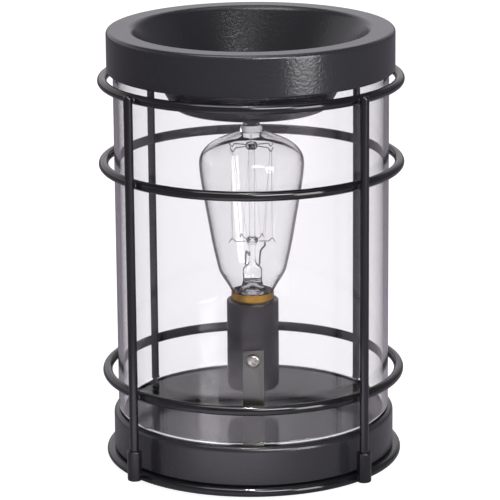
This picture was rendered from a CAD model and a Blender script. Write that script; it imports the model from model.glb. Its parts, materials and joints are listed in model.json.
"""Lantern wax warmer: the finished pieces on their CAD frame, and a small studio.

Metres, +Z up, -Y the front, as in the frame. Sizes are read from the frame's nodes,
and what a node's box can't tell, such as a wall or a rounding, is given here.
"""
import json
import math
from collections import namedtuple

import bmesh
import bpy
from bpy.props import FloatProperty, PointerProperty, StringProperty
from mathutils import Matrix, Vector

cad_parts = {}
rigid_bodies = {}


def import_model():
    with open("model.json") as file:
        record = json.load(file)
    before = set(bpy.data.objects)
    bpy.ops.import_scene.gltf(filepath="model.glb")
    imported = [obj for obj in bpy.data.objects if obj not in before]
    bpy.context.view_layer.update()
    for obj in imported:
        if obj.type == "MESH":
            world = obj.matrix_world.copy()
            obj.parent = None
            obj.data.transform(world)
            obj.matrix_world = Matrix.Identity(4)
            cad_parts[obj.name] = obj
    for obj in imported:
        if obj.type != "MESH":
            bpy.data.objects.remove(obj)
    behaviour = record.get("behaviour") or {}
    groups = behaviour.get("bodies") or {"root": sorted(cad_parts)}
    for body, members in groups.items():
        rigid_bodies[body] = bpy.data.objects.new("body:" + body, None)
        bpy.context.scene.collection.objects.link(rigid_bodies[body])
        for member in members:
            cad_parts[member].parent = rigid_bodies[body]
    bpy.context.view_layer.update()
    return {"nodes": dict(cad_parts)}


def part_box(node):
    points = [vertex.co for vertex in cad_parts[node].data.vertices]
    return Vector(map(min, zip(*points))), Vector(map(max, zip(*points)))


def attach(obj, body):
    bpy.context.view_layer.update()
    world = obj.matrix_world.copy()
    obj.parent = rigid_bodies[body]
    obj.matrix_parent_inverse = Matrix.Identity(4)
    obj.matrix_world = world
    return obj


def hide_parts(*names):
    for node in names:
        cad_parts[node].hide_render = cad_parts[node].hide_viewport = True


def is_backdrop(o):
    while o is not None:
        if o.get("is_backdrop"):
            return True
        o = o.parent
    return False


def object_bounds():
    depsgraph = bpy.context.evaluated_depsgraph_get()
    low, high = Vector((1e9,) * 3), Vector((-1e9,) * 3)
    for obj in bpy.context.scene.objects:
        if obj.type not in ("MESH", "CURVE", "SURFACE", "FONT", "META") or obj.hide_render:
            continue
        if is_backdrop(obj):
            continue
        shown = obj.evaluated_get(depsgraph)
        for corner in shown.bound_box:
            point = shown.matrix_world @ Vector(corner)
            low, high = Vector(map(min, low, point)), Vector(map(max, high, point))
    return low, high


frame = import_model()

bl_info = {
    "name": "Wax Warmer Lantern",
    "version": (1, 0, 0),
    "blender": (4, 5, 0),
    "location": "3D View > Sidebar > Warmer",
    "description": "Builds the lantern's dish, glass, cage, base, lampholder and bulb",
    "category": "Add Mesh",
}

MM = 0.001
GAP = 0.3 * MM               # the frame's clearance between pieces that touch
CLOSE_GAP = GAP / 3          # what is drawn of it where it shows
OVERRUN = 1.0 * MM           # how far a cutting tool reaches past what it cuts
WELD_DISTANCE = 0.0005 * MM
SUPPORT = 0.2 * MM           # from a straight run's end to the loop that holds its shading
SHARP_ANGLE = math.radians(32)
IMAGE_PIXELS = 500
SENSOR_WIDTH = 36.0          # Blender's default, in its own millimetres

LARGE_SIDES = 192
MEDIUM_SIDES = 96
SMALL_SIDES = 48
ARC_STEPS = 8

ROD_NAMES = ("front_left", "front_right", "rear_right", "rear_left")
RING_NAMES = ("top", "middle", "lower")
COVER_SCREWS = (1, 2, 3)
RUBBER_FEET = (1, 2, 3, 4)
LOWER_SUPPORTS = 4
UPPER_SUPPORTS = 5

BEAD_SHAPE = (0.55, 0.42, 0.8, 1.0)   # a weld bead across, along and up, against a ball
BEAD_SPREAD = 0.62           # from the rod's middle to a bead, in ring radii

# screws and their holes: radii, and the heights of heads
COVER_SCREW_RADIUS = 1.5 * MM
COVER_SCREW_HEAD = 1.2 * MM
COVER_SCREW_HOLE = 1.8 * MM
FACE_SCREW_RADIUS = 1.5 * MM
FACE_SCREW_HEAD_RADIUS = 2.7 * MM
FACE_SCREW_HEAD = 1.9 * MM
FACE_SCREW_HOLE = 1.8 * MM
FACE_SCREW_TURN = 0.5        # radians, as it was left by the screwdriver
DECK_SCREW_RADIUS = 1.9 * MM
DECK_SCREW_HEAD = 2.0 * MM
DECK_SCREW_HOLE = 2.2 * MM
DECK_NUT_HOLE = 2.1 * MM
SCREW_PITCH = 0.5 * MM
THREAD_PITCH = 2.54 * MM     # candelabra thread
THREAD_STEPS = 16            # rings to one pitch

# holes in the lampholder's moulding: radius and depth
HOLDER_SCREW_HOLE = (1.7 * MM, 6 * MM)
HOLDER_LEAD_HOLE = (2.4 * MM, 7.3 * MM)
CAD_SHELL_WALL = 0.6 * MM    # of the frame's plain shell

COVER_EDGE = 0.35 * MM
FOOT_EDGE = 0.5 * MM
SHEET_EDGE = 0.2 * MM        # bevel on cut sheet, on the nut and in the moulding
BUSH_BORE = 2.45 * MM
BUSH_RIM = 0.9 * MM          # how far its rims stand out from its neck
BUSH_EDGE = 0.35 * MM
INLET_EDGES = (0.5 * MM, 0.4 * MM, 0.7 * MM)   # inner bore, inner rim, outer bore

CAP_FOLD = (0.1 * MM, 0.4 * MM)       # out and up, where the thread turns to the taper
CAP_FOLD_RADII = (0.0, 0.4 * MM, 0.8 * MM)
SLAG_NOSE = 2.9 * MM
SLAG_BULGE = 5.1 * MM
SLAG_STEP = 2.4 * MM
SLAG_EDGES = (0.0, 0.5 * MM, 0.4 * MM, 0.0, 0.0, 0.0)

# Outline of the bulb from the neck up: (share of its radius, share of its height).
ENVELOPE_SHARES = (
    (0.404, 0.005), (0.499, 0.052), (0.585, 0.092), (0.645, 0.128), (0.700, 0.194),
    (0.768, 0.287), (0.853, 0.430), (0.920, 0.542), (0.972, 0.639), (0.996, 0.702),
    (1.000, 0.738), (0.982, 0.767), (0.940, 0.791), (0.875, 0.814), (0.780, 0.837),
    (0.640, 0.859), (0.449, 0.883), (0.270, 0.905), (0.222, 0.922), (0.135, 0.965),
    (0.075, 0.990), (0.0, 1.0),
)
TIP_SHARE = 0.91             # the glass is solid above this share of the bulb's height

# The stem. Heights of pinch and shoulder above the foot, then ovals by half width,
# half depth and height: those of the flare in shares of its radius, the rest in millimetres.
STEM_PINCH = 3.1 * MM
STEM_SHOULDER = 10.3 * MM
STEM_FLARE_WALL = 0.8 * MM
STEM_ROD = 1.25 * MM
FLARE_OVALS = ((1.0, 1.0, 0.0), (0.80, 0.78, 1.0), (0.66, 0.45, 3.1))
PINCH_OVALS = ((3.75, 1.5, 1.2), (3.75, 1.4, 4.0))
SHOULDER_OVALS = ((3.7, 1.5, -1.4), (2.9, 1.5, -0.3), (1.7, 1.4, 0.8))
BUTTON_SIDE = 1.9 * MM       # radius of a button's ring below and above its middle
BUTTON_DROP = 0.3 * MM       # lower button's middle below its supports
BUTTON_TOP = 1.5 * MM        # upper button's middle below the stem's end

# Softboxes: name, the setting with their watts, place, aim (None: the object's middle), sides.
SOFTBOXES = (
    ("key_box", "key", (0.46, -0.53, 0.24), None, (0.26, 0.44)),
    ("top_box", "top", (-0.2, -0.3, 1.2), None, (0.7, 0.5)),
    ("front_box", "front", (0.16, -0.55, 0.5), (0.02, -0.1, 0.0), (0.3, 0.24)),
)
POOL_PLACE = (-0.03, -0.14, 0.9)
POOL_CONE = math.radians(11)


# colours and nodes
def linear(colour):
    """An sRGB hex colour, such as #1b1c1e, as linear RGBA."""
    parts = [int(colour[i:i + 2], 16) / 255 for i in (1, 3, 5)]
    return (*[p / 12.92 if p <= 0.04045 else ((p + 0.055) / 1.055) ** 2.4 for p in parts], 1.0)


def per_metre(millimetres):
    """The texture scale that gives a pattern of this size on coordinates in metres."""
    return 1.0 / (millimetres * MM)


def add_node(tree, kind, inputs=None, feeds=None, **settings):
    """Add a node: its settings, a value or link for each input, and the sockets it feeds."""
    made = tree.nodes.new(kind)
    for setting, value in settings.items():
        setattr(made, setting, value)
    for socket, value in (inputs or {}).items():
        if isinstance(value, bpy.types.NodeSocket):
            tree.links.new(value, made.inputs[socket])
        else:
            made.inputs[socket].default_value = value
    for socket, target in (feeds or {}).items():
        tree.links.new(made.outputs[socket], target)
    return made


Surface = namedtuple("Surface", "material tree into place")


def start_surface(name, **values):
    """A Principled material with its sockets set by name, and where its patterns lie."""
    material = bpy.data.materials.new(name)
    material.use_nodes = True
    tree = material.node_tree
    shader = tree.nodes["Principled BSDF"]
    for socket, value in values.items():
        shader.inputs[socket.replace("_", " ")].default_value = value
    place = add_node(tree, "ShaderNodeTexCoord").outputs["Object"]
    return Surface(material, tree, shader.inputs, place)


def mark(surface, size, detail, relief=None, rough=None, tints=None, stretch=None):
    """Mark a surface with a pattern of a size in millimetres, perhaps stretched.

    It may give relief (depth in millimetres, strength), a range of roughness, and two tints.
    """
    tree, into, place = surface.tree, surface.into, surface.place
    if stretch:
        place = add_node(tree, "ShaderNodeMapping",
                         {"Vector": place, "Scale": stretch}).outputs["Vector"]
    height = add_node(tree, "ShaderNodeTexNoise",
                      {"Vector": place, "Scale": per_metre(size), "Detail": detail}).outputs["Fac"]
    if relief:
        add_node(tree, "ShaderNodeBump",
                 {"Height": height, "Distance": relief[0] * MM, "Strength": relief[1]},
                 {"Normal": into["Normal"]})
    if rough:
        add_node(tree, "ShaderNodeMapRange",
                 {"Value": height, "To Min": rough[0], "To Max": rough[1]},
                 {"Result": into["Roughness"]})
    if tints:
        add_node(tree, "ShaderNodeMix",
                 {"Factor": height, "A": linear(tints[0]), "B": linear(tints[1])},
                 {"Result": into["Base Color"]}, data_type="RGBA")


def black_enamel(colours):
    """Baked satin enamel on steel: black, softly glossy, with a faint orange peel."""
    paint = start_surface("Baked Satin Enamel", Base_Color=linear(colours.enamel), IOR=1.5)
    # sprayed enamel levels out in ripples about 1 mm across, here deeper than real, to show
    mark(paint, 1.2, 2.0, relief=(0.09, 0.9))
    # the gloss drifts a little over each pressed part
    mark(paint, 22.0, 2.0, rough=(0.17, 0.24))
    return paint.material


def gloss_enamel(colours):
    """The same enamel where it flowed out, on wire and on the level deck: nearly a mirror."""
    paint = start_surface("Baked Gloss Enamel", Base_Color=linear(colours.gloss_enamel),
                          IOR=1.5)
    # the paint lies in long, shallow swells there
    mark(paint, 5.0, 1.0, relief=(0.008, 0.3))
    mark(paint, 30.0, 2.0, rough=(0.09, 0.14))
    return paint.material


def cylinder_glass(colours):
    """Borosilicate tube, drawn: clear and colourless, with faint long draw lines."""
    glass = start_surface("Borosilicate Tube", Base_Color=linear(colours.cylinder_glass),
                          IOR=1.473, Transmission_Weight=1.0)
    # drawing pulls every unevenness out along the tube
    mark(glass, 14.0, 1.0, relief=(0.010, 0.25), rough=(0.0, 0.01), stretch=(1.0, 1.0, 0.02))
    return glass.material


def blown_glass(name, colours, index, size, depth, start, squeeze=None):
    """Clear lamp glass with ripples; seen along its wall it holds more light and draws dark."""
    glass = start_surface(name, IOR=index, Transmission_Weight=1.0)
    mark(glass, size, 1.0, relief=(depth, 0.3), rough=(0.0, 0.01), stretch=squeeze)
    facing = add_node(glass.tree, "ShaderNodeLayerWeight", {"Blend": 0.5})
    rim = add_node(glass.tree, "ShaderNodeMapRange",
                   {"Value": facing.outputs["Facing"], "From Min": start},
                   interpolation_type="SMOOTHSTEP")
    add_node(glass.tree, "ShaderNodeMix",
             {"Factor": rim.outputs["Result"], "A": linear(colours.bulb_glass),
              "B": linear(colours.glass_edge)},
             {"Result": glass.into["Base Color"]}, data_type="RGBA")
    return glass.material


def bulb_glass(colours):
    """Soda-lime glass, blown in a turning mould: clear, with faint level rings."""
    return blown_glass("Blown Soda-lime Glass", colours, 1.51, 6.0, 0.012, 0.93,
                       (0.08, 0.08, 1.0))


def stem_glass(colours):
    """Lead-free stem tubing, pressed while soft: clear, a little wavy at the pinch."""
    return blown_glass("Pressed Stem Glass", colours, 1.53, 2.5, 0.03, 0.70)


def phenolic(colours):
    """Moulded phenolic: dense black with a fine mineral filler that dulls the skin."""
    resin = start_surface("Moulded Phenolic", Base_Color=linear(colours.phenolic), IOR=1.6)
    mark(resin, 0.6, 4.0, relief=(0.006, 0.3))
    # the resin flowed in the mould and left broad dull and bright patches
    mark(resin, 9.0, 3.0, rough=(0.16, 0.24))
    return resin.material


def zinc_plate(colours):
    """Zinc-plated strip, cut and bent: grey with a yellow-green cast, rolled along its length."""
    plate = start_surface("Zinc-plated Steel", Metallic=1.0)
    mark(plate, 0.4, 3.0, relief=(0.012, 0.4), stretch=(1.0, 1.0, 0.06))
    # the passivation clouds over some millimetres
    mark(plate, 4.0, 3.0, rough=(0.26, 0.40), tints=(colours.zinc, colours.zinc_cast))
    return plate.material


def screw_zinc(colours):
    """Barrel-plated screws: brighter zinc than the strip, rubbed bright by its neighbours."""
    plate = start_surface("Bright Zinc Plate", Metallic=1.0)
    mark(plate, 0.8, 3.0, relief=(0.01, 0.4), rough=(0.14, 0.28),
         tints=(colours.bright_zinc, colours.zinc))
    return plate.material


def cap_brass(colours):
    """Drawn brass, bright from the die, with draw rings and a first warm tarnish."""
    brass = start_surface("Drawn Brass", Metallic=1.0)
    mark(brass, 0.5, 2.0, relief=(0.008, 0.4), stretch=(0.1, 0.1, 1.0))
    # fingers leave tarnish in patches of about 5 mm
    mark(brass, 5.0, 4.0, rough=(0.26, 0.42), tints=(colours.brass, colours.brass_tarnish))
    return brass.material


def basing_cement(colours):
    """The cement that holds glass and cap together: dark olive, baked, coarse and matt."""
    cement = start_surface("Basing Cement", Base_Color=linear(colours.cement), IOR=1.5)
    mark(cement, 0.5, 4.0, relief=(0.05, 0.6), rough=(0.5, 0.8))
    return cement.material


def drawn_wire(name, colour, smoothness):
    """Drawn wire: its die lines are too fine to show, so a coarser grain dulls it instead."""
    wire = start_surface(name, Base_Color=linear(colour), Metallic=1.0)
    mark(wire, 0.6, 2.0, relief=(0.004, 0.3), rough=(smoothness, smoothness + 0.12))
    return wire.material


def slag_glass(colours):
    """Black slag glass, poured into the cap and pressed: smooth, with small pits."""
    slag = start_surface("Poured Slag Glass", Base_Color=linear(colours.slag_glass), IOR=1.6)
    mark(slag, 0.8, 4.0, relief=(0.03, 0.5), rough=(0.08, 0.16))
    return slag.material


def solder(colours):
    """Tin-lead solder, frozen from a drop: bright grey with a grainy skin."""
    tin = start_surface("Soft Solder", Base_Color=linear(colours.solder), Metallic=1.0)
    mark(tin, 0.4, 4.0, relief=(0.03, 0.6), rough=(0.3, 0.5))
    return tin.material


def rubber(colours):
    """Moulded rubber: matt near-black with a bloom that pales it in patches."""
    skin = start_surface("Moulded Rubber", IOR=1.52)
    # wax in the rubber rises in blotches some millimetres wide
    mark(skin, 6.0, 4.0, rough=(0.65, 0.85), tints=(colours.rubber, colours.rubber_bloom))
    mark(skin, 0.3, 2.0, relief=(0.02, 0.5))
    return skin.material


def sleeving(name, colour):
    """Silicone sleeving or moulded nylon: satin, one colour with slight clouding."""
    skin = start_surface(name, Base_Color=linear(colour), IOR=1.45)
    mark(skin, 3.0, 3.0, rough=(0.42, 0.56))
    mark(skin, 0.5, 2.0, relief=(0.01, 0.4))
    return skin.material


def straight_on(tree):
    """1 where the paper or the surround is seen directly or through glass, 0 in reflections."""
    rays = add_node(tree, "ShaderNodeLightPath")
    bounces = add_node(tree, "ShaderNodeMath",
                       {0: rays.outputs["Diffuse Depth"], 1: rays.outputs["Glossy Depth"]},
                       operation="ADD")
    return add_node(tree, "ShaderNodeMath", {0: bounces.outputs["Value"], 1: 0.5},
                    operation="LESS_THAN").outputs["Value"]


def studio_floor(colours):
    """Pale seamless paper, matt, with the faintest tooth; it burns out to white in the picture."""
    paper = start_surface("Seamless Paper", Base_Color=linear(colours.floor), IOR=1.45,
                          Emission_Color=(1.0, 1.0, 1.0, 1.0))
    mark(paper, 1.5, 4.0, relief=(0.02, 0.3), rough=(0.8, 0.9))
    add_node(paper.tree, "ShaderNodeMath", {0: straight_on(paper.tree), 1: 0.95},
             {"Value": paper.into["Emission Strength"]}, operation="MULTIPLY")
    return paper.material


# each look: the record's slot, and what makes it
FINISHES = {
    "enamel": ("black_enamel", black_enamel),
    "gloss": ("black_enamel", gloss_enamel),
    "cylinder_glass": ("clear_glass", cylinder_glass),
    "bulb_glass": ("clear_glass", bulb_glass),
    "stem_glass": ("clear_glass", stem_glass),
    "phenolic": ("black_phenolic", phenolic),
    "zinc": ("zinc_plate", zinc_plate),
    "screw": ("zinc_plate", screw_zinc),
    "brass": ("brass", cap_brass),
    "cement": ("brass", basing_cement),
    "nickel": ("nickel_wire", lambda c: drawn_wire("Drawn Nickel Wire", c.nickel, 0.25)),
    "tungsten": ("tungsten", lambda c: drawn_wire("Drawn Tungsten Wire", c.tungsten, 0.35)),
    "slag_glass": ("black_glass", slag_glass),
    "solder": ("solder", solder),
    "rubber": ("black_rubber", rubber),
    "sleeve": ("lead_sleeve", lambda c: sleeving("Silicone Sleeving", c.sleeve)),
    "nylon": ("nylon", lambda c: sleeving("Moulded Nylon", c.nylon)),
}


def finish(look):
    """The slot and the material of a look, made once."""
    scene = bpy.context.scene
    slot, maker = FINISHES[look]
    key = f"finish_{look}"
    if key not in scene:
        scene[key] = maker(scene.warmer_colours).name
    return slot, bpy.data.materials[scene[key]]


# shapes
def arc(centre, radius, start, stop, steps=ARC_STEPS):
    """Points on an arc, angles in degrees, both ends included."""
    angles = [math.radians(start + (stop - start) * i / steps) for i in range(steps + 1)]
    return [(centre[0] + radius * math.cos(a), centre[1] + radius * math.sin(a)) for a in angles]


def circle(radius, sides, centre=(0.0, 0.0)):
    turns = [math.tau * i / sides for i in range(sides)]
    return [(centre[0] + radius * math.cos(a), centre[1] + radius * math.sin(a)) for a in turns]


def oval(width, depth, height, sides=SMALL_SIDES):
    """A level oval ring, given its half width and half depth."""
    turns = [math.tau * i / sides for i in range(sides)]
    return [Vector((width * math.cos(a), depth * math.sin(a), height)) for a in turns]


def rounded(corners, radii):
    """An open outline whose inner corners are rounded, each by its own radius."""
    points = [corners[0]]
    for before, here, after, radius in zip(corners, corners[1:], corners[2:], radii[1:]):
        if not radius:
            points.append(here)
            continue
        spot = Vector(here)
        back = (Vector(before) - spot).normalized()
        on = (Vector(after) - spot).normalized()
        half = back.angle(on) / 2
        reach = radius / math.tan(half)
        centre = spot + (back + on).normalized() * (radius / math.sin(half))
        start = spot + back * reach - centre
        stop = spot + on * reach - centre
        for i in range(ARC_STEPS + 1):
            turn = start.angle_signed(stop) * i / ARC_STEPS
            points.append(tuple(centre + Matrix.Rotation(-turn, 2) @ start))
    points.append(corners[-1])
    return points


def slab(radius, height, lower_edge, upper_edge):
    """Half the section of a disc with rounded edges."""
    corners = [(0.0, 0.0), (radius, 0.0), (radius, height), (0.0, height)]
    return rounded(corners, [0.0, lower_edge, upper_edge, 0.0])


def smooth_line(points, steps):
    """Points along a smooth curve through the given ones."""
    ends = [2 * Vector(points[0]) - Vector(points[1]), 2 * Vector(points[-1]) - Vector(points[-2])]
    row = [ends[0], *[Vector(p) for p in points], ends[1]]
    line = []
    for p0, p1, p2, p3 in zip(row, row[1:], row[2:], row[3:]):
        for i in range(steps):
            t = i / steps
            line.append(0.5 * (2 * p1 + (p2 - p0) * t + (2 * p0 - 5 * p1 + 4 * p2 - p3) * t ** 2
                               + (3 * p1 - p0 - 3 * p2 + p3) * t ** 3))
    line.append(Vector(points[-1]))
    return line


def round_the_axis(radius, bearing, height=0.0):
    turn = math.radians(bearing)
    return Vector((radius * math.cos(turn), radius * math.sin(turn), height))


Measure = namedtuple("Measure", "low high spot radius height")


def measure(node):
    """A node's lowest and highest corners, its middle, half its width, and its height."""
    low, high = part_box(node)
    return Measure(low, high, (low + high) / 2, (high.x - low.x) / 2, high.z - low.z)


def centre_of(node):
    return measure(node).spot


def bearing_of(node):
    """The direction in which a node lies from the axis, in degrees."""
    spot = centre_of(node)
    return math.degrees(math.atan2(spot.y, spot.x))


def smooth(mesh):
    mesh.shade_smooth()
    mesh.set_sharp_from_angle(angle=SHARP_ANGLE)


def mesh_from(form, name):
    bmesh.ops.recalc_face_normals(form, faces=form.faces)
    mesh = bpy.data.meshes.new(name)
    form.to_mesh(mesh)
    form.free()
    smooth(mesh)
    return mesh


def held(outline, ring):
    """The outline with a point near both ends of each long run, so rounds shade on their own."""
    points = []
    ends = [*outline[1:], outline[0]] if ring else [*outline[1:], None]
    for here, after in zip(outline, ends):
        points.append(here)
        if after is None:
            continue
        start, run = Vector(here), Vector(after) - Vector(here)
        if run.length > 4 * SUPPORT:
            points += [tuple(start + run.normalized() * SUPPORT),
                       tuple(start + run - run.normalized() * SUPPORT)]
    return points


def turned_mesh(name, outline, sides=LARGE_SIDES, ring=False):
    """Turn an outline of (radius, height) points round Z."""
    form = bmesh.new()
    points = [form.verts.new((radius, 0.0, height)) for radius, height in held(outline, ring)]
    pairs = list(zip(points, points[1:]))
    if ring:
        pairs.append((points[-1], points[0]))
    edges = [form.edges.new(pair) for pair in pairs]
    bmesh.ops.spin(form, geom=points + edges, cent=(0.0, 0.0, 0.0), axis=(0.0, 0.0, 1.0),
                   angle=math.tau, steps=sides, use_duplicate=False)
    bmesh.ops.remove_doubles(form, verts=form.verts, dist=WELD_DISTANCE)
    return mesh_from(form, name)


def prism_mesh(name, outline, start, stop, axis="Z"):
    """Push a flat outline from start to stop along an axis."""
    form = bmesh.new()
    to_world = {
        "Z": lambda u, v, w: (u, v, w),
        "X": lambda u, v, w: (w, u, v),
        "Y": lambda u, v, w: (u, w, v),
    }[axis]
    face = form.faces.new([form.verts.new(to_world(u, v, start)) for u, v in outline])
    grown = bmesh.ops.extrude_face_region(form, geom=[face])
    far = [item for item in grown["geom"] if isinstance(item, bmesh.types.BMVert)]
    bmesh.ops.translate(form, verts=far, vec=Vector(to_world(0.0, 0.0, stop - start)))
    return mesh_from(form, name)


def round_tool(radius, start, stop, centre=(0.0, 0.0), axis="Z"):
    return prism_mesh("tool", circle(radius, SMALL_SIDES, centre), start, stop, axis)


def skinned_mesh(name, sections, ring=False):
    """Skin a row of rings. A section of one point closes an end; a ring meets its start again."""
    form = bmesh.new()
    rows = [[form.verts.new(point) for point in section] for section in sections]
    ends = [*rows[1:], rows[0]] if ring else rows[1:]
    for low, high in zip(rows, ends):
        count = max(len(low), len(high))
        for i in range(count):
            j = (i + 1) % count
            if len(low) == 1:
                form.faces.new((low[0], high[i], high[j]))
            elif len(high) == 1:
                form.faces.new((low[i], high[0], low[j]))
            else:
                form.faces.new((low[i], high[i], high[j], low[j]))
    return mesh_from(form, name)


def threaded_rings(middle, depth, start, stop):
    """Rings of a rolled thread, which swings about its middle radius and fades at its ends."""
    steps = int((stop - start) / THREAD_PITCH * THREAD_STEPS)
    rings = []
    for i in range(steps + 1):
        height = start + (stop - start) * i / steps
        fade = min(1.0, max(0.0, (height - start) / THREAD_PITCH * 2),
                   max(0.0, (stop - height) / THREAD_PITCH * 2))
        ring = []
        for j in range(MEDIUM_SIDES):
            bearing = math.tau * j / MEDIUM_SIDES
            radius = middle + fade * depth / 2 * math.cos(math.tau * height / THREAD_PITCH - bearing)
            ring.append(Vector((radius * math.cos(bearing), radius * math.sin(bearing), height)))
        rings.append(ring)
    return rings


def cap_crest():
    """The radius of the cap's thread at its crests, a gap inside the frame's plain shell."""
    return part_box("socket_shell")[1].x - CAD_SHELL_WALL - GAP


def worked(mesh, cuts=(), joins=(), bevel=0.0):
    """Cut tools out of a mesh, join others to it, bevel its edges, and give the new mesh."""
    body = bpy.data.objects.new(mesh.name, mesh)
    bpy.context.scene.collection.objects.link(body)
    tools = []
    for operation, meshes in (("UNION", joins), ("DIFFERENCE", cuts)):
        for tool_mesh in meshes:
            tool = bpy.data.objects.new("tool", tool_mesh)
            bpy.context.scene.collection.objects.link(tool)
            tools.append(tool)
            change = body.modifiers.new("work", "BOOLEAN")
            change.operation = operation
            change.solver = "EXACT"
            change.object = tool
    if bevel:
        edge = body.modifiers.new("edge", "BEVEL")
        edge.width = bevel
        edge.segments = 3
        edge.limit_method = "ANGLE"
        edge.angle_limit = math.radians(40)
    bpy.context.view_layer.update()
    seen = body.evaluated_get(bpy.context.evaluated_depsgraph_get())
    done = bpy.data.meshes.new_from_object(seen)
    for thing in [body, *tools]:
        bpy.data.objects.remove(thing)
    smooth(done)
    return done


def wire_data(name, points, thickness):
    """A round wire along points."""
    curve = bpy.data.curves.new(name, "CURVE")
    curve.dimensions = "3D"
    curve.bevel_depth = thickness / 2
    curve.bevel_resolution = 4
    curve.use_fill_caps = True
    spline = curve.splines.new("POLY")
    spline.points.add(len(points) - 1)
    for knot, point in zip(spline.points, points):
        knot.co = (*point, 1.0)
    return curve


def pan_screw(name, radius, length, head_radius, head_height):
    """A pan-head screw, its head up above Z = 0, with a cross recess and a rolled thread."""
    crown = 0.55 * head_height
    outline = [(0.0, head_height),
               *arc((head_radius - crown, 0.45 * head_height), crown, 90, 0),
               (head_radius, 0.0), (radius, 0.0)]
    for i in range(int((length - radius) / SCREW_PITCH)):
        top = -radius / 2 - i * SCREW_PITCH
        outline += [(radius, top), (radius, top - 0.15 * SCREW_PITCH),
                    (0.86 * radius, top - SCREW_PITCH / 2), (radius, top - 0.85 * SCREW_PITCH)]
    outline += [(0.7 * radius, -length + 0.2 * radius), (0.55 * radius, -length), (0.0, -length)]
    # two tapered slots that cross, sunk from the top of the head
    slot_length, slot_width, depth = 1.3 * head_radius, 0.42 * head_radius, 0.7 * head_height
    tools = []
    for u, v in ((slot_length / 2, slot_width / 2), (slot_width / 2, slot_length / 2)):
        over, under = head_height + depth, head_height - depth
        top = [Vector((x, y, over)) for x, y in ((-u, -v), (u, -v), (u, v), (-u, v))]
        foot = [Vector((0.6 * p.x, 0.6 * p.y, under)) for p in top]
        tools.append(skinned_mesh("tool", [[Vector((0, 0, under))], foot, top,
                                           [Vector((0, 0, over))]]))
    return worked(turned_mesh(name, outline, SMALL_SIDES), tools)


# pieces on their bodies
def link(name, data, look, body, place=(0.0, 0.0, 0.0), node=None):
    """Put a piece in the scene with its look, on its body, for the CAD node it replaces."""
    piece = bpy.data.objects.new(name, data)
    piece.location = place
    bpy.context.scene.collection.objects.link(piece)
    slot, material = finish(look)
    data.materials.append(material)
    bpy.context.view_layer.update()
    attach(piece, body)
    if node:
        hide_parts(node)


def turn(name, outline, look, body, place, node, sides=LARGE_SIDES, ring=False):
    """Turn a piece from its outline and link it."""
    link(name, turned_mesh(name, outline, sides, ring), look, body, place, node)


def string(name, points, thickness, look, node):
    """Lay a wire of the bulb along points and link it."""
    link(name, wire_data(name, points, thickness), look, "bulb", node=node)


def dress(node, look):
    """Give a CAD node whose shape is right its look."""
    materials = frame["nodes"][node].data.materials
    materials.clear()
    materials.append(finish(look)[1])


def second_look(mesh, look, chosen):
    """Give the chosen faces of a mesh another look."""
    mesh.materials.append(finish(look)[1])
    for face in mesh.polygons:
        face.material_index = 1 if chosen(face) else 0


# settings
def colour(name, description, default):
    return StringProperty(name=name, description=description, default=default)


def length(name, description, millimetres):
    return FloatProperty(name=name, description=description, default=millimetres * MM,
                         min=0.0, unit="LENGTH")


def angle(name, description, degrees):
    return FloatProperty(name=name, description=description, default=math.radians(degrees),
                         subtype="ANGLE", unit="ROTATION")


def amount(name, description, default):
    return FloatProperty(name=name, description=description, default=default, min=0.0)


def share(name, description, default):
    return FloatProperty(name=name, description=description, default=default, min=0.0, max=1.0)


class WarmerColours(bpy.types.PropertyGroup):
    enamel: colour("Enamel", "Paint of all black metal", "#222225")
    gloss_enamel: colour("Gloss Enamel", "Paint on wire and deck", "#101012")
    cylinder_glass: colour("Cylinder Glass", "Tint of the cylinder", "#f5f5f5")
    bulb_glass: colour("Bulb Glass", "Tint of the bulb and its stem", "#ffffff")
    glass_edge: colour("Glass Edge", "Blown glass seen edge on", "#56565c")
    phenolic: colour("Phenolic", "Moulding of the lampholder", "#0f0f10")
    zinc: colour("Zinc", "Plating of bracket and screws", "#82837a")
    zinc_cast: colour("Zinc Cast", "Yellow-green cast of the plating", "#73766a")
    bright_zinc: colour("Bright Zinc", "Plating of the screws", "#e6e4da")
    brass: colour("Brass", "Bright brass of the cap", "#f4be2e")
    brass_tarnish: colour("Tarnish", "Where the brass has tarnished", "#c08a1e")
    cement: colour("Cement", "Basing cement inside the cap", "#26271b")
    nickel: colour("Nickel", "Leads and supports in the bulb", "#8d8983")
    tungsten: colour("Tungsten", "Filament", "#c4c1bd")
    slag_glass: colour("Slag Glass", "Black glass of the cap", "#121214")
    solder: colour("Solder", "Tip of the cap", "#b9b9b7")
    rubber: colour("Rubber", "Feet and bushes", "#161616")
    rubber_bloom: colour("Bloom", "Bloom on the rubber", "#262524")
    sleeve: colour("Sleeving", "Leads in the base", "#202022")
    nylon: colour("Nylon", "Crimp splices", "#dcd9cf")
    floor: colour("Paper", "Studio floor", "#98929c")
    surround: colour("Surround", "Cast of the room's light", "#fdf9ff")


class WarmerDish(bpy.types.PropertyGroup):
    sheet: length("Sheet", "Thickness of the steel", 1.0)
    corner: length("Rim Corner", "Radius where the top turns down", 1.5)
    collar: length("Collar", "Height of the collar", 15.7)
    ledge: length("Ledge", "From the collar's face to the lip", 7.7)
    lip: length("Lip", "Radius of the well's lip", 3.0)
    floor_radius: length("Well Floor", "Radius of the flat floor", 27.0)
    floor_corner: length("Floor Corner", "Radius at the floor's edge", 3.0)


class WarmerGlass(bpy.types.PropertyGroup):
    wall: length("Wall", "Thickness of the cylinder", 2.0)
    edge: length("Edge", "Radius of the fire-polished edge", 0.9)


class WarmerCage(bpy.types.PropertyGroup):
    rod_round: length("Rod End", "Rounding of the rods' tops", 1.3)
    ferrule_edge: length("Ferrule Edge", "Rounding of the ferrules' edges", 0.5)
    weld: length("Weld", "Diameter of the ball a weld bead is shaped from", 2.6)


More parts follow.
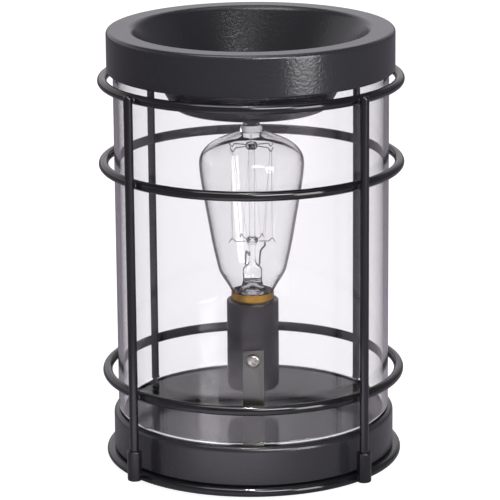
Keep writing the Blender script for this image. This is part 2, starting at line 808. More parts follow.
class WarmerBase(bpy.types.PropertyGroup):
    sheet: length("Sheet", "Thickness of the drawn pan", 1.0)
    shoulder: length("Shoulder", "Radius of the pan's shoulder", 2.0)
    flange_seat: length("Flange Seat", "Reach of the flange inside the wall", 3.0)
    boss_radius: length("Boss", "Radius of the screw bosses", 3.5)
    inlet_rise: length("Inlet Rise", "Cord inlet above the flange", 6.6)
    inlet_bore: length("Inlet Bore", "Radius of the cord's passage", 3.1)
    inlet_neck: length("Inlet Neck", "Radius of the grommet's neck", 4.2)
    inlet_rim: length("Inlet Rim", "Thickness of the grommet's rims", 1.4)


class WarmerHolder(bpy.types.PropertyGroup):
    foot_round: length("Foot Rounding", "Lower edge of the moulding", 2.0)
    rim_round: length("Rim Rounding", "Upper edge of the moulding", 0.5)
    mouth: length("Mouth", "Radius of the countersunk mouth", 8.6)
    flat_drop: length("Flat Drop", "Top of the flat below the rim", 5.6)
    shell_wall: length("Shell", "Thickness of the threaded shell", 0.35)
    sheet: length("Bracket Sheet", "Thickness of the bracket", 1.0)
    bend: length("Bend", "Inside radius of the bracket's bend", 1.0)


class WarmerBulb(bpy.types.PropertyGroup):
    wall: length("Wall", "Thickness of the envelope", 0.9)
    neck: length("Neck", "Radius of the neck inside the skirt", 7.0)
    skirt: length("Skirt", "Height of the cap's straight skirt", 3.1)
    skirt_taper: length("Skirt Taper", "Height from thread to skirt", 1.5)
    thread_depth: length("Thread Depth", "Crest to root of the thread", 0.55)
    cap_sheet: length("Cap Sheet", "Thickness of the brass", 0.35)
    support_wire: length("Support Wire", "Thickness of the supports", 0.34)
    lead_wire: length("Lead Wire", "Thickness of the leads", 0.66)
    lead_knee: length("Lead Knee", "Height of the leads' knee", 5.8)
    filament_wire: length("Filament", "Thickness of the filament", 0.1)
    button: length("Button", "Radius of the stem's two buttons", 2.3)
    lower_reach: length("Lower Reach", "Lower hooks from the axis", 7.7)
    upper_reach: length("Upper Reach", "Upper hooks from the axis", 8.6)
    hook_run: length("Hook Run", "Half length of a hook", 1.2)
    hook_rise: length("Hook Rise", "Height of a hook", 1.6)
    hook_clearance: length("Hook Clearance", "Filament to hook", 0.6)


class WarmerStudio(bpy.types.PropertyGroup):
    distance: length("Distance", "Camera in front of the axis", 1121.7)
    height: length("Height", "Camera above the floor", 384.9)
    pitch: angle("Pitch", "Camera looks down by this", 15.108)
    yaw: angle("Yaw", "Camera looks left by this", 0.045)
    roll: angle("Roll", "Camera leans by this", -0.480)
    focal_pixels: amount("Focal Length", "In pixels of the photograph", 3021.4)
    sky: amount("Sky", "Brightness of the surround, straight on", 1.22)
    room: amount("Room", "Brightness of the unlit room", 0.2)
    backdrop: amount("Backdrop", "Brightness of the backdrop", 0.78)
    right_side: share("Right Side", "Share of light from the right", 0.25)
    front_side: share("Front Side", "Share of light from the front", 0.5)
    overhead: amount("Overhead", "Brightness of the ceiling bounce", 1.2)
    key: amount("Side Box", "Power of the right softbox, in watts", 3.0)
    front: amount("Front Box", "Power of the small front softbox, in watts", 3.0)
    top: amount("Top Box", "Power of the overhead softbox, in watts", 4.0)
    pool: amount("Pool Spot", "Power of the spot on the paper, in watts", 120.0)
    floor_size: length("Floor", "Side of the paper", 12000.0)


class WarmerOperator:
    """What the operators share. None catches an error, so a failed piece stops the script."""
    bl_options = {"REGISTER", "UNDO"}


# dish
def dish_side(dish, radius, depth, depth_of_well):
    """One side of the dish's sheet, from the axis out, the given depth below the upper side."""
    corner = (dish.floor_radius, -depth_of_well + dish.floor_corner)
    lip = (radius - dish.ledge, -dish.lip)
    across = Vector((lip[0] - corner[0], lip[1] - corner[1]))
    slope = math.acos((dish.floor_corner + dish.lip) / across.length)
    lean = math.degrees(slope - math.atan2(across.y, across.x))
    rim = (radius - dish.corner, -dish.corner)
    return [
        (0.0, -depth_of_well - depth),
        *arc(corner, dish.floor_corner + depth, -90, -lean),
        *arc(lip, dish.lip - depth, 180 - lean, 90),
        *arc(rim, dish.corner - depth, 90, 0),
    ]


class WARMER_OT_dish(WarmerOperator, bpy.types.Operator):
    """Spin the wax dish: a well, a flat ledge and a collar, all one sheet"""
    bl_idname = "warmer.dish"
    bl_label = "Wax Dish"

    def execute(self, context):
        dish = context.scene.warmer_dish
        cad = measure("wax_dish")
        radius, well, half = cad.high.x, cad.height - dish.sheet, dish.sheet / 2
        outline = [*dish_side(dish, radius, 0.0, well),
                   *arc((radius - half, -dish.collar + half), half, 0, -180),
                   *dish_side(dish, radius, dish.sheet, well)[::-1]]
        turn("wax_dish_body", outline, "enamel", "dish", (0.0, 0.0, cad.high.z), "wax_dish",
             ring=True)
        return {"FINISHED"}


# glass
class WARMER_OT_glass(WarmerOperator, bpy.types.Operator):
    """Draw the glass cylinder, with fire-polished edges"""
    bl_idname = "warmer.glass"
    bl_label = "Glass Cylinder"

    def execute(self, context):
        scene = context.scene
        cad = measure("glass_cylinder")
        edge = scene.warmer_glass.edge
        outer, height = cad.high.x, cad.height
        inner = outer - scene.warmer_glass.wall
        outline = [
            *arc((inner + edge, edge), edge, 180, 270), *arc((outer - edge, edge), edge, 270, 360),
            *arc((outer - edge, height - edge), edge, 0, 90),
            *arc((inner + edge, height - edge), edge, 90, 180),
        ]
        turn("glass_tube", outline, "cylinder_glass", "glass", (0.0, 0.0, cad.low.z),
             "glass_cylinder", ring=True)
        return {"FINISHED"}


# cage
class WARMER_OT_cage(WarmerOperator, bpy.types.Operator):
    """Bend the rings, stand the rods in their ferrules, and weld them where they cross"""
    bl_idname = "warmer.cage"
    bl_label = "Wire Cage"

    def execute(self, context):
        scene = context.scene
        rings = []
        for name in RING_NAMES:
            cad = measure(f"cage_ring_{name}")
            half = cad.height / 2
            radius, height = cad.high.x - half, cad.low.z + half
            turn(f"ring_{name}", arc((radius, 0.0), half, 0, 360, 24)[:-1], "gloss", "base",
                 (0.0, 0.0, height), f"cage_ring_{name}", ring=True)
            rings.append((name, radius, height, half))
        for name in ROD_NAMES:
            self.stand_rod(scene.warmer_cage, name)
            self.weld_rod(scene.warmer_cage, name, rings)
        return {"FINISHED"}

    def stand_rod(self, cage, name):
        rod, ferrule = measure(f"cage_rod_{name}"), measure(f"ferrule_{name}")
        top = (rod.radius - cage.rod_round, rod.height - cage.rod_round)
        outline = [(0.0, 0.0), (rod.radius, 0.0), *arc(top, cage.rod_round, 0, 90),
                   (0.0, rod.height)]
        turn(f"rod_{name}", outline, "gloss", "base", (*rod.spot.xy, rod.low.z),
             f"cage_rod_{name}", SMALL_SIDES)
        bore, seat = rod.radius + CLOSE_GAP, rod.low.z - ferrule.low.z - GAP
        edge = cage.ferrule_edge
        corners = [(0.0, 0.0), (ferrule.radius, 0.0), (ferrule.radius, ferrule.height),
                   (bore, ferrule.height), (bore, seat), (0.0, seat)]
        turn(f"ferrule_sleeve_{name}", rounded(corners, [0.0, edge, edge, edge / 3, 0.0, 0.0]),
             "gloss", "base", (*ferrule.spot.xy, ferrule.low.z), f"ferrule_{name}", SMALL_SIDES)

    def weld_rod(self, cage, name, rings):
        """A small bead fills the corner on both sides of each crossing."""
        bearing = bearing_of(f"cage_rod_{name}")
        rod_circle = centre_of(f"cage_rod_{name}").xy.length
        turned = Matrix.Rotation(math.radians(bearing), 4, "Z") @ Matrix.Diagonal(BEAD_SHAPE)
        for ring_name, ring_radius, height, half in rings:
            beads = bmesh.new()
            for side in (-1, 1):
                centre = round_the_axis((rod_circle + ring_radius) / 2, bearing, height)
                centre += side * half * BEAD_SPREAD * round_the_axis(1.0, bearing + 90)
                bead = bmesh.ops.create_uvsphere(beads, u_segments=16, v_segments=10,
                                                 radius=cage.weld / 2)
                bmesh.ops.transform(beads, verts=bead["verts"],
                                    matrix=Matrix.Translation(centre) @ turned)
            piece = f"weld_{ring_name}_{name}"
            link(piece, mesh_from(beads, piece), "gloss", "base")


# base
class WARMER_OT_base(WarmerOperator, bpy.types.Operator):
    """Draw the drum, roll the flange under it, and close it with cover, screws and feet"""
    bl_idname = "warmer.base"
    bl_label = "Drum Base"

    def execute(self, context):
        base = context.scene.warmer_base
        drum, flange = measure("base_drum"), measure("base_flange")
        half = flange.height / 2
        bore = drum.high.x - base.sheet - base.flange_seat
        edge = arc((flange.high.x - half, half), half, -90, 90, 16)
        turn("flange_ring", [(bore, 0.0), *edge, (bore, 2 * half)], "gloss", "base",
             (0.0, 0.0, flange.low.z), "base_flange", ring=True)
        self.draw_drum(base, drum, flange.high.z)
        self.close_drum()
        return {"FINISHED"}

    def draw_drum(self, base, drum, flange_top):
        radius, deck, boss_foot = drum.high.x, drum.high.z, drum.low.z
        half = base.sheet / 2
        middle = (radius - base.shoulder, deck - base.shoulder)
        outline = [(0.0, deck - base.sheet), *arc(middle, base.shoulder - base.sheet, 90, 0),
                   *arc((radius - half, flange_top + GAP + half), half, -180, 0),
                   *arc(middle, base.shoulder, 0, 90, 16), (0.0, deck)]
        joins, cuts = [], []
        for number in COVER_SCREWS:
            screw = measure(f"cover_screw_{number}")
            spot = screw.spot.xy
            joins.append(round_tool(base.boss_radius, boss_foot, deck - half, spot))
            cuts.append(round_tool(COVER_SCREW_HOLE, boss_foot - OVERRUN,
                                   screw.high.z + OVERRUN, spot))
        bush = measure("lead_bush")
        for bore, spot in ((DECK_SCREW_HOLE, centre_of("foot_screw")),
                           (bush.radius - BUSH_RIM + GAP, bush.spot)):
            cuts.append(round_tool(bore, deck - 2 * base.sheet, deck + OVERRUN, spot.xy))
        cuts.append(round_tool(base.inlet_neck + CLOSE_GAP, radius - 6 * MM, radius + OVERRUN,
                               (0.0, flange_top + base.inlet_rise), "Y"))
        mesh = worked(turned_mesh("drum_pan", outline), cuts, joins)
        link("drum_pan", mesh, "enamel", "base", node="base_drum")
        second_look(mesh, "gloss", lambda face: face.normal.z > 0.999
                    and face.center.z > deck - base.sheet / 4)

    def close_drum(self):
        cover = measure("bottom_cover")
        holes = [round_tool(COVER_SCREW_HOLE, -OVERRUN, cover.height + OVERRUN,
                            centre_of(f"cover_screw_{number}").xy) for number in COVER_SCREWS]
        disc = slab(cover.high.x, cover.height, COVER_EDGE, COVER_EDGE)
        link("cover_disc", worked(turned_mesh("cover_disc", disc), holes), "enamel", "base",
             (0.0, 0.0, cover.low.z), "bottom_cover")
        for number in COVER_SCREWS:
            screw = measure(f"cover_screw_{number}")
            name = f"cover_pan_screw_{number}"
            mesh = pan_screw(name, COVER_SCREW_RADIUS, screw.height - COVER_SCREW_HEAD,
                             screw.radius, COVER_SCREW_HEAD)
            mesh.transform(Matrix.Rotation(math.pi, 4, "X"))
            link(name, mesh, "screw", "base", (*screw.spot.xy, screw.low.z + COVER_SCREW_HEAD),
                 f"cover_screw_{number}")
        for number in RUBBER_FEET:
            pad = measure(f"rubber_foot_{number}")
            turn(f"foot_pad_{number}", slab(pad.radius, pad.height, FOOT_EDGE, 0.0), "rubber",
                 "base", (*pad.spot.xy, pad.low.z), f"rubber_foot_{number}", SMALL_SIDES)


class WARMER_OT_inlet(WarmerOperator, bpy.types.Operator):
    """Mould the rubber grommet of the cord inlet, in the rear of the drum"""
    bl_idname = "warmer.inlet"
    bl_label = "Cord Inlet"

    def execute(self, context):
        base = context.scene.warmer_base
        cad = measure("cord_grommet")
        low, high, rim = cad.low.y, cad.high.y, cad.radius
        outer_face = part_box("base_drum")[1].x + GAP
        neck, bore, half = base.inlet_neck, base.inlet_bore, base.inlet_rim / 2
        bore_edge, rim_edge, mouth_edge = INLET_EDGES
        outline = [
            *arc((bore + bore_edge, low + bore_edge), bore_edge, 180, 270),
            *arc((rim - rim_edge, low + rim_edge), rim_edge, 270, 360),
            (rim, low + base.inlet_rim), (neck, low + base.inlet_rim), (neck, outer_face),
            *arc((rim - half, outer_face + half), half, -90, 45),
            *arc((bore + mouth_edge, high - mouth_edge), mouth_edge, 90, 180),
        ]
        mesh = turned_mesh("inlet_grommet", outline, MEDIUM_SIDES, ring=True)
        mesh.transform(Matrix.Rotation(-math.pi / 2, 4, "X"))
        link("inlet_grommet", mesh, "rubber", "base", (0.0, 0.0, cad.spot.z), "cord_grommet")
        return {"FINISHED"}


# lampholder
class WARMER_OT_holder(WarmerOperator, bpy.types.Operator):
    """Mould the lampholder and set its threaded shell and centre contact"""
    bl_idname = "warmer.holder"
    bl_label = "Lampholder"

    def execute(self, context):
        scene = context.scene
        self.mould_body(scene.warmer_holder)
        shell = measure("socket_shell")
        depth = scene.warmer_bulb.thread_depth
        inner = cap_crest() + GAP - depth / 2
        outer = inner + scene.warmer_holder.shell_wall
        sides = [threaded_rings(r, depth, shell.low.z, shell.high.z) for r in (inner, outer)]
        mesh = skinned_mesh("threaded_shell", sides[0] + sides[1][::-1], ring=True)
        link("threaded_shell", mesh, "brass", "base", node="socket_shell")
        dress("socket_contact", "brass")
        return {"FINISHED"}

    def mould_body(self, holder):
        body, shell = measure("socket_body"), measure("socket_shell")
        radius, height, foot = body.high.x, body.height, body.low.z
        cavity = shell.high.x + GAP
        floor = shell.low.z - GAP - foot
        corners = [(0.0, 0.0), (radius, 0.0), (radius, height), (holder.mouth, height),
                   (cavity, height - (holder.mouth - cavity)), (cavity, floor), (0.0, floor)]
        outline = rounded(corners, [0.0, holder.foot_round, holder.rim_round, SHEET_EDGE,
                                    SHEET_EDGE, 0.0, 0.0])
        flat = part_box("socket_bracket")[0].y + holder.sheet + GAP
        flat_top = height - holder.flat_drop
        front = -radius - OVERRUN
        shaved = [(front, -OVERRUN), (flat, -OVERRUN), (flat, flat_top), (front, flat_top)]
        screw_radius, screw_depth = HOLDER_SCREW_HOLE
        lead_radius, lead_depth = HOLDER_LEAD_HOLE
        tools = [
            prism_mesh("tool", shaved, -radius, radius, "X"),
            round_tool(screw_radius, flat - OVERRUN, flat + screw_depth,
                       (0.0, centre_of("bracket_screw").z - foot), "Y"),
            round_tool(lead_radius, -OVERRUN, lead_depth, centre_of("lead_bush").xy),
        ]
        mesh = worked(turned_mesh("holder_moulding", outline, MEDIUM_SIDES), tools)
        link("holder_moulding", mesh, "phenolic", "base", (0.0, 0.0, foot), "socket_body")


class WARMER_OT_bracket(WarmerOperator, bpy.types.Operator):
    """Bend the bracket and put in its two screws and the nut"""
    bl_idname = "warmer.bracket"
    bl_label = "Bracket"

    def execute(self, context):
        scene = context.scene
        sheet, inside = scene.warmer_holder.sheet, scene.warmer_holder.bend
        low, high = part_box("socket_bracket")
        face, deck, nut = (measure(n) for n in ("bracket_screw", "foot_screw", "foot_nut"))
        spot = deck.spot.xy
        bend = (low.y + sheet + inside, low.z + sheet + inside)
        outline = [
            (high.y, low.z), *arc(bend, inside + sheet, -90, -180), (low.y, high.z),
            (low.y + sheet, high.z), *arc(bend, inside, -180, -90), (high.y, low.z + sheet),
        ]
        holes = [
            round_tool(FACE_SCREW_HOLE, low.y - OVERRUN, low.y + sheet + OVERRUN,
                       (0.0, face.spot.z), "Y"),
            round_tool(DECK_SCREW_HOLE, low.z - OVERRUN, low.z + sheet + OVERRUN, spot),
        ]
        mesh = worked(prism_mesh("bent_bracket", outline, low.x, high.x, "X"), holes, (),
                      SHEET_EDGE)
        link("bent_bracket", mesh, "zinc", "base", node="socket_bracket")
        mesh = pan_screw("face_screw", FACE_SCREW_RADIUS,
                         face.high.y - face.low.y - FACE_SCREW_HEAD, FACE_SCREW_HEAD_RADIUS,
                         FACE_SCREW_HEAD)
        mesh.transform(Matrix.Rotation(math.pi / 2, 4, "X")
                       @ Matrix.Rotation(FACE_SCREW_TURN, 4, "Z"))
        link("face_screw", mesh, "screw", "base",
             (0.0, face.low.y + FACE_SCREW_HEAD, face.spot.z), "bracket_screw")
        mesh = pan_screw("deck_screw", DECK_SCREW_RADIUS, deck.height - DECK_SCREW_HEAD,
                         deck.radius, DECK_SCREW_HEAD)
        link("deck_screw", mesh, "screw", "base", (*spot, deck.high.z - DECK_SCREW_HEAD),
             "foot_screw")
        hexagon = prism_mesh("deck_nut", circle(nut.radius, 6, spot), nut.low.z, nut.high.z)
        hole = round_tool(DECK_NUT_HOLE, nut.low.z - OVERRUN, nut.high.z + OVERRUN, spot)
        link("deck_nut", worked(hexagon, [hole], (), SHEET_EDGE), "screw", "base",
             node="foot_nut")
        return {"FINISHED"}


class WARMER_OT_leads(WarmerOperator, bpy.types.Operator):
    """Sleeve the leads and finish their bush and splices"""
    bl_idname = "warmer.leads"
    bl_label = "Leads"

    def execute(self, context):
        bush = measure("lead_bush")
        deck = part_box("base_drum")[1].z
        low, high, rim = bush.low.z, bush.high.z, bush.radius
        neck = rim - BUSH_RIM
        under, over = deck - context.scene.warmer_base.sheet - GAP, deck + GAP
        corners = [(BUSH_BORE, low), (rim, low), (rim, under), (neck, under), (neck, over),
                   (rim, over), (rim, high), (BUSH_BORE, high), (BUSH_BORE, low + BUSH_EDGE)]
        radii = [0.0, BUSH_EDGE, 0.0, 0.0, 0.0, 0.0, BUSH_EDGE, BUSH_EDGE]
        turn("bush_sleeve", rounded(corners, radii), "rubber", "base", (*bush.spot.xy, 0.0),
             "lead_bush", SMALL_SIDES, ring=True)
        for name in ("live", "neutral"):
            dress(f"lead_{name}", "sleeve")
            dress(f"splice_{name}", "nylon")
        return {"FINISHED"}


# bulb
class WARMER_OT_cap(WarmerOperator, bpy.types.Operator):
    """Roll the screw cap, pour its black glass and melt its solder tip"""
    bl_idname = "warmer.cap"
    bl_label = "Screw Cap"

    def execute(self, context):
        bulb = context.scene.warmer_bulb
        skirt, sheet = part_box("bulb_cap")[1].x, bulb.cap_sheet
        sides = self.cap_side(bulb, 0.0) + self.cap_side(bulb, sheet)[::-1]
        mesh = skinned_mesh("screw_cap", sides, ring=True)
        link("screw_cap", mesh, "brass", "bulb", node="bulb_cap")
        second_look(mesh, "cement", lambda face: face.normal.xy.dot(face.center.xy) < 0
                    and face.center.xy.length < skirt - sheet / 2)
        low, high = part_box("cap_insulator")
        step = low.z + SLAG_STEP
        corners = [(0.0, low.z), (SLAG_NOSE, low.z), (SLAG_BULGE, step), (high.x, step),
                   (high.x, high.z), (0.0, high.z)]
        turn("cap_glass", rounded(corners, SLAG_EDGES), "slag_glass", "bulb", (0.0, 0.0, 0.0),
             "cap_insulator", MEDIUM_SIDES)
        low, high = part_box("cap_contact")
        turns = [math.pi / 2 * i / ARC_STEPS for i in range(ARC_STEPS)]
        dome = [(high.x * math.cos(a), high.z - (high.z - low.z) * math.sin(a)) for a in turns]
        turn("solder_tip", [(0.0, high.z), *dome, (0.0, low.z)], "solder", "bulb_tip",
             (0.0, 0.0, 0.0), "cap_contact", SMALL_SIDES)
        return {"FINISHED"}

    def cap_side(self, bulb, inwards):
        """One side of the brass from the tip up, moved inwards by a distance."""
        low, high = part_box("bulb_cap")
        middle = cap_crest() - bulb.thread_depth / 2 - inwards
        skirt = high.x - inwards
        fold = high.z - bulb.skirt
        neck = fold - bulb.skirt_taper
        out, up = CAP_FOLD
        line = rounded([(middle, neck), (middle + out, neck + up), (skirt, fold),
                        (skirt, high.z)], CAP_FOLD_RADII)[1:]
        return [*threaded_rings(middle, bulb.thread_depth, low.z, neck),
                *[oval(r, r, z, MEDIUM_SIDES) for r, z in line]]


def inset(outline, wall):
    """The outline moved inwards by a wall, square to its run at each point."""
    moved = []
    for before, here, after in zip(outline, outline[1:], outline[2:]):
        run = Vector((after[0] - before[0], after[1] - before[1])).normalized()
        moved.append((here[0] - wall * run.y, here[1] + wall * run.x))
    return moved


class WARMER_OT_envelope(WarmerOperator, bpy.types.Operator):
    """Blow the envelope, pulled to a pip where the pump tube was sealed"""
    bl_idname = "warmer.envelope"
    bl_label = "Envelope"

    def execute(self, context):
        bulb = context.scene.warmer_bulb
        cad = measure("bulb_envelope")
        skirt_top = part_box("bulb_cap")[1].z
        height, foot = cad.high.z - skirt_top, cad.low.z - skirt_top
        shape = [(cad.radius * r, height * h) for r, h in ENVELOPE_SHARES]
        line = [(max(p.x, 0.0), p.y) for p in smooth_line(shape, 6)]
        hollow = [p for p in inset(line, bulb.wall) if p[1] < height * TIP_SHARE and p[0] > 0]
        lining = [(bulb.neck - bulb.wall, foot), *hollow[1:], (0.0, hollow[-1][1])]
        outline = [(bulb.neck, foot), (bulb.neck, GAP), *line[:-1], (0.0, height),
                   *lining[::-1]]
        turn("blown_envelope", outline, "bulb_glass", "bulb", (0.0, 0.0, skirt_top),
             "bulb_envelope", ring=True)
        return {"FINISHED"}


class WARMER_OT_stem(WarmerOperator, bpy.types.Operator):
    """Press the stem: flare, flat pinch, rod and two buttons"""
    bl_idname = "warmer.stem"
    bl_label = "Stem"

    def execute(self, context):
        stem = measure("bulb_stem")
        foot, top, flare, rod = stem.low.z, stem.high.z, stem.radius, STEM_ROD
        lining = flare - STEM_FLARE_WALL
        pinch, shoulder = foot + STEM_PINCH, foot + STEM_SHOULDER
        rings = [(w * flare, d * flare, foot + z * MM) for w, d, z in FLARE_OVALS]
        for start, ovals in ((pinch, PINCH_OVALS), (shoulder, SHOULDER_OVALS)):
            rings += [(w * MM, d * MM, start + z * MM) for w, d, z in ovals]
        rings.append((rod, rod, shoulder + 2.6 * MM))
        lower = centre_of("lower_support_1").z - BUTTON_DROP
        for middle in (lower, top - BUTTON_TOP):
            steps = [(rod, -2.0), (BUTTON_SIDE, -1.2), (context.scene.warmer_bulb.button, 0.0),
                     (BUTTON_SIDE, 1.0)]
            if middle == lower:
                steps.append((rod, 2.0))
            rings += [(radius, radius, middle + rise * MM) for radius, rise in steps]
        sections = [[Vector((0.0, 0.0, pinch - 0.8 * MM))],
                    oval(0.6 * lining, 0.6 * lining, foot + 1.3 * MM), oval(lining, lining, foot)]
        sections += [oval(*point) for point in smooth_line(rings, 5)]
        sections += [oval(1.0 * MM, 1.0 * MM, top - 0.1 * MM), [Vector((0.0, 0.0, top))]]
        link("pressed_stem", skinned_mesh("pressed_stem", sections), "stem_glass", "bulb",
             node="bulb_stem")
        return {"FINISHED"}


class WARMER_OT_filament(WarmerOperator, bpy.types.Operator):
    """Bend the supports and the leads, and string the filament between them"""
    bl_idname = "warmer.filament"
    bl_label = "Filament"

    def execute(self, context):
        bulb = context.scene.warmer_bulb
        lower = [self.bend_support(bulb, f"lower_support_{number}", bulb.lower_reach, 1)
                 for number in range(1, LOWER_SUPPORTS + 1)]
        upper = [self.bend_support(bulb, f"upper_support_{number}", bulb.upper_reach, -1)
                 for number in range(1, UPPER_SUPPORTS + 1)]
        path = [self.bend_lead(bulb, "bulb_lead_right")]
        for number, hook in enumerate(upper):
            path += self.round_hook(bulb, *hook, bulb.upper_reach, -1)
            if number < len(lower):
                path += self.round_hook(bulb, *lower[number], bulb.lower_reach, 1)
        path.append(self.bend_lead(bulb, "bulb_lead_left"))
        string("strung_filament", path, bulb.filament_wire, "tungsten", "bulb_filament")
        return {"FINISHED"}

    def bend_support(self, bulb, node, reach, way):
        """A wire with a hook at its end; way is 1 for a peak, -1 for a dip."""
        low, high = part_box(node)
        tip = high.z if way > 0 else low.z
        height = tip - way * (bulb.hook_rise + bulb.support_wire / 2)
        bearing = bearing_of(node)
        profile = [(bulb.button + GAP, height), (reach - bulb.hook_run, height),
                   (reach, height + way * bulb.hook_rise),
                   (reach + bulb.hook_run, height - way * bulb.hook_rise / 4)]
        bend = 2 * bulb.support_wire
        points = [round_the_axis(radius, bearing, z)
                  for radius, z in rounded(profile, [0.0, bend, bend, 0.0])]
        string(f"{node}_wire", points, bulb.support_wire, "nickel", node)
        return bearing, height

    def round_hook(self, bulb, bearing, height, reach, way):
        """The filament's points under a peak, or over a dip."""
        clear = bulb.hook_clearance
        spot = round_the_axis(reach, bearing, height + way * (bulb.hook_rise - clear))
        aside = round_the_axis(clear, bearing + 90)
        lift = Vector((0.0, 0.0, way * clear / 2))
        return [spot - aside + lift, spot, spot + aside + lift]

    def bend_lead(self, bulb, node):
        """A lead from the pinch to the filament's end, which it gives back."""
        low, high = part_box(node)
        half = bulb.lead_wire / 2
        foot = Vector((low.x + half, high.y - half, low.z))
        top = Vector((high.x - half, low.y + half, high.z))
        bend = top - Vector((0.0, 0.0, bulb.hook_rise))
        knee = foot.lerp(bend, 0.25)
        knee.z = foot.z + bulb.lead_knee
        string(f"{node}_wire", smooth_line([foot, knee, bend, top], ARC_STEPS), bulb.lead_wire,
               "nickel", node)
        return top + Vector((0.0, 0.0, GAP))


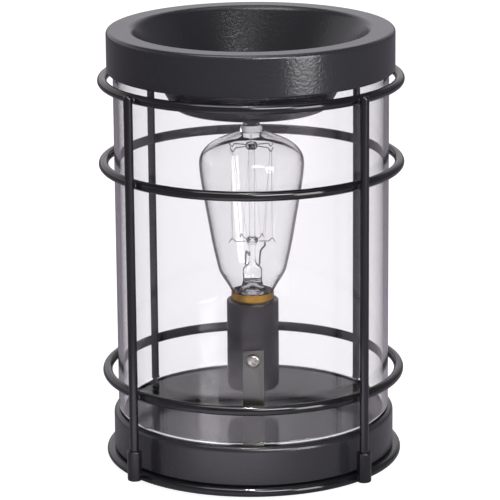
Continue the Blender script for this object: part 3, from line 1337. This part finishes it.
# studio
class WARMER_OT_studio(WarmerOperator, bpy.types.Operator):
    """Lay the paper, hang the softboxes and stand the camera where the photograph was taken"""
    bl_idname = "warmer.studio"
    bl_label = "Studio"

    def execute(self, context):
        scene = context.scene
        studio = scene.warmer_studio
        self.lay_floor(scene, studio)
        self.light_surround(scene, studio)
        middle = (0.0, 0.0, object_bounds()[1].z / 2)
        for name, power, place, aim, sides in SOFTBOXES:
            box = self.hang_lamp(name, "AREA", getattr(studio, power), place)
            box.data.shape = "RECTANGLE"
            box.data.size, box.data.size_y = sides
            way = Vector(aim or middle) - Vector(place)
            box.rotation_euler = way.to_track_quat("-Z", "Y").to_euler()
        # a pool of light on the paper before the base, which the black parts mirror
        pool = self.hang_lamp("pool_spot", "SPOT", studio.pool, POOL_PLACE)
        pool.data.spot_size = POOL_CONE
        pool.data.spot_blend = 0.6
        pool.data.shadow_soft_size = 0.03
        self.stand_camera(scene, studio)
        scene.view_settings.view_transform = "Standard"
        return {"FINISHED"}

    def lay_floor(self, scene, studio):
        form = bmesh.new()
        bmesh.ops.create_grid(form, x_segments=1, y_segments=1, size=studio.floor_size / 2)
        mesh = mesh_from(form, "paper_floor")
        floor = bpy.data.objects.new("paper_floor", mesh)
        scene.collection.objects.link(floor)
        mesh.materials.append(studio_floor(scene.warmer_colours))
        floor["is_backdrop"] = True

    def light_surround(self, scene, studio):
        """White straight on and through glass; a dim room with a bright backdrop and ceiling."""
        world = bpy.data.worlds.new("studio_surround")
        world.use_nodes = True
        tree = world.node_tree
        way = add_node(tree, "ShaderNodeTexCoord").outputs["Generated"]
        parts = add_node(tree, "ShaderNodeSeparateXYZ", {"Vector": way}).outputs
        # along an axis of the view's direction: from, to, and the light at both
        backdrop, ceiling, overhead, right, front = [
            add_node(tree, "ShaderNodeMapRange",
                     {"Value": parts[axis], "From Min": start, "From Max": stop,
                      "To Min": first, "To Max": last},
                     interpolation_type="SMOOTHSTEP").outputs["Result"]
            for axis, start, stop, first, last in (
                ("Z", -0.02, 0.14, studio.room, studio.backdrop),
                ("Z", 0.45, 0.62, 1.0, studio.room / studio.backdrop),
                ("Z", 0.82, 0.95, 0.0, studio.overhead),
                ("X", 0.1, 0.7, 1.0, studio.right_side),
                ("Y", -0.3, 0.3, studio.front_side, 1.0),
            )]
        light, sides = backdrop, right
        for operation, value in (("MULTIPLY", ceiling), ("ADD", overhead)):
            light = add_node(tree, "ShaderNodeMath", {0: light, 1: value},
                             operation=operation).outputs["Value"]
        sides = add_node(tree, "ShaderNodeMath", {0: sides, 1: front},
                         operation="MULTIPLY").outputs["Value"]
        light = add_node(tree, "ShaderNodeMath", {0: light, 1: sides},
                         operation="MULTIPLY").outputs["Value"]
        back = tree.nodes["Background"].inputs
        back["Color"].default_value = linear(scene.warmer_colours.surround)
        add_node(tree, "ShaderNodeMix",
                 {"Factor": straight_on(tree), "A": light, "B": studio.sky},
                 {"Result": back["Strength"]}, data_type="FLOAT")
        scene.world = world

    def hang_lamp(self, name, kind, watts, place):
        lamp = bpy.data.objects.new(name, bpy.data.lights.new(name, kind))
        lamp.data.energy = watts
        lamp.location = place
        bpy.context.scene.collection.objects.link(lamp)
        return lamp

    def stand_camera(self, scene, studio):
        data = bpy.data.cameras.new("photo_camera")
        data.sensor_width = SENSOR_WIDTH
        data.lens = studio.focal_pixels * SENSOR_WIDTH / IMAGE_PIXELS
        data.clip_start = 0.05
        camera = bpy.data.objects.new("photo_camera", data)
        place = Matrix.Translation((0.0, -studio.distance, studio.height))
        left = Matrix.Rotation(studio.yaw, 4, "Z")
        tilt = Matrix.Rotation(math.pi / 2 - studio.pitch, 4, "X")
        lean = Matrix.Rotation(studio.roll, 4, "Z")
        camera.matrix_world = place @ left @ tilt @ lean
        scene.collection.objects.link(camera)
        scene.camera = camera


class WARMER_PT_panel(bpy.types.Panel):
    """The warmer's pieces, in the sidebar"""
    bl_idname = "WARMER_PT_panel"
    bl_label = "Wax Warmer Lantern"
    bl_space_type = "VIEW_3D"
    bl_region_type = "UI"
    bl_category = "Warmer"

    def draw(self, context):
        for maker in OPERATORS:
            self.layout.operator(maker.bl_idname)


GROUPS = {
    "warmer_colours": WarmerColours,
    "warmer_dish": WarmerDish,
    "warmer_glass": WarmerGlass,
    "warmer_cage": WarmerCage,
    "warmer_base": WarmerBase,
    "warmer_holder": WarmerHolder,
    "warmer_bulb": WarmerBulb,
    "warmer_studio": WarmerStudio,
}

OPERATORS = (
    WARMER_OT_dish, WARMER_OT_glass, WARMER_OT_cage, WARMER_OT_base, WARMER_OT_inlet,
    WARMER_OT_holder, WARMER_OT_bracket, WARMER_OT_leads, WARMER_OT_cap, WARMER_OT_envelope,
    WARMER_OT_stem, WARMER_OT_filament, WARMER_OT_studio,
)


def register():
    for cls in (*GROUPS.values(), *OPERATORS, WARMER_PT_panel):
        bpy.utils.register_class(cls)
    for name, group in GROUPS.items():
        setattr(bpy.types.Scene, name, PointerProperty(type=group))


def unregister():
    for name in GROUPS:
        delattr(bpy.types.Scene, name)
    for cls in (WARMER_PT_panel, *reversed(OPERATORS), *reversed(GROUPS.values())):
        bpy.utils.unregister_class(cls)


def main():
    register()
    for thing in list(bpy.data.objects):
        if thing.type in {"CAMERA", "LIGHT"} or thing.name == "Cube":
            bpy.data.objects.remove(thing)
    bpy.ops.warmer.dish()
    bpy.ops.warmer.glass()
    bpy.ops.warmer.cage()
    bpy.ops.warmer.base()
    bpy.ops.warmer.inlet()
    bpy.ops.warmer.holder()
    bpy.ops.warmer.bracket()
    bpy.ops.warmer.leads()
    bpy.ops.warmer.cap()
    bpy.ops.warmer.envelope()
    bpy.ops.warmer.stem()
    bpy.ops.warmer.filament()
    bpy.ops.warmer.studio()


if __name__ == "__main__":
    main()
